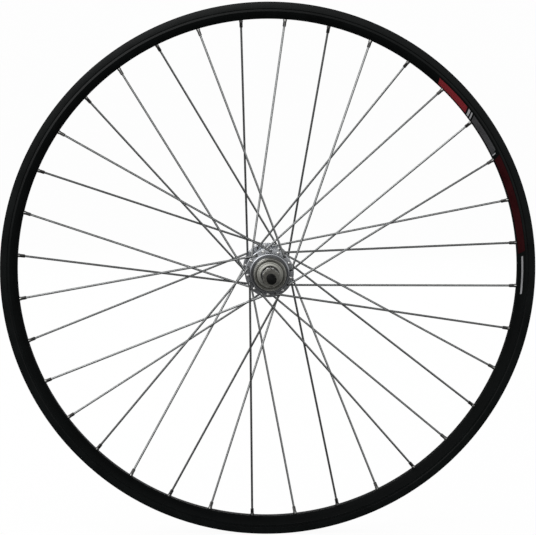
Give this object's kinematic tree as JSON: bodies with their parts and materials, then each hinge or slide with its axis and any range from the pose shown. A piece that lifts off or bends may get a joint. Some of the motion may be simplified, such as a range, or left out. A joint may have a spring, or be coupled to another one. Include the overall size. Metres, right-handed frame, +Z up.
{
  "type": "bicycle wheel",
  "caption": "Rear bicycle wheel without tyre: black double-wall rim, crossed steel spokes and a silver flanged hub with a freewheel thread, turning on a solid axle.",
  "frame": {"origin": "wheel centre, on the axle's axis in the middle plane of the rim", "axes": "+Y along the axle from the drive side to the left side, about which the wheel spins, +Z up, and the drive side with the freewheel thread at -Y"},
  "size_m": [0.5709, 0.166, 0.571],
  "materials": {
    "rim_black": "satin black anodised",
    "hub_alloy": "polished",
    "spoke_steel": "drawn stainless wire",
    "nipple_plate": "nickel plated",
    "axle_black": "black oxide",
    "bearing_steel": "ground steel",
    "cap_steel": "pressed, satin",
    "zinc_steel": "zinc plated"
  },
  "bodies": {
    "axle_set": {"axle": "axle_black", "bearing_cones": "bearing_steel", "axle_spacers": "zinc_steel", "lock_washers": "zinc_steel", "locknuts": "zinc_steel"},
    "wheel": {"rim": "rim_black", "hub_shell": "hub_alloy", "nipples": "nipple_plate", "bearing_cups": "bearing_steel", "dust_caps": "cap_steel", "spoke_01": "spoke_steel", "spoke_02": "spoke_steel", "spoke_03": "spoke_steel", "spoke_04": "spoke_steel", "spoke_05": "spoke_steel", "spoke_06": "spoke_steel", "spoke_07": "spoke_steel", "spoke_08": "spoke_steel", "spoke_09": "spoke_steel", "spoke_10": "spoke_steel", "spoke_11": "spoke_steel", "spoke_12": "spoke_steel", "spoke_13": "spoke_steel", "spoke_14": "spoke_steel", "spoke_15": "spoke_steel", "spoke_16": "spoke_steel", "spoke_17": "spoke_steel", "spoke_18": "spoke_steel", "spoke_19": "spoke_steel", "spoke_20": "spoke_steel", "spoke_21": "spoke_steel", "spoke_22": "spoke_steel", "spoke_23": "spoke_steel", "spoke_24": "spoke_steel", "spoke_25": "spoke_steel", "spoke_26": "spoke_steel", "spoke_27": "spoke_steel", "spoke_28": "spoke_steel", "spoke_29": "spoke_steel", "spoke_30": "spoke_steel", "spoke_31": "spoke_steel", "spoke_32": "spoke_steel", "spoke_33": "spoke_steel", "spoke_34": "spoke_steel", "spoke_35": "spoke_steel", "spoke_36": "spoke_steel"},
    "drive_ball_ring": {"drive_balls": "bearing_steel"},
    "left_ball_ring": {"left_balls": "bearing_steel"}
  },
  "joints": [
    {"name": "wheel_spin", "type": "hinge", "parent": "axle_set", "child": "wheel", "pos_m": [0, 0, 0], "axis": [0, 1, 0], "continuous": true},
    {"name": "drive_balls_orbit", "type": "hinge", "parent": "axle_set", "child": "drive_ball_ring", "pos_m": [0, -0.0343, 0], "axis": [0, 1, 0], "continuous": true},
    {"name": "left_balls_orbit", "type": "hinge", "parent": "axle_set", "child": "left_ball_ring", "pos_m": [0, 0.0389, 0], "axis": [0, 1, 0], "continuous": true}
  ],
  "couplings": [
    {"joint": "drive_balls_orbit", "follows": "wheel_spin", "ratio": 0.6157},
    {"joint": "left_balls_orbit", "follows": "wheel_spin", "ratio": 0.6157}
  ]
}
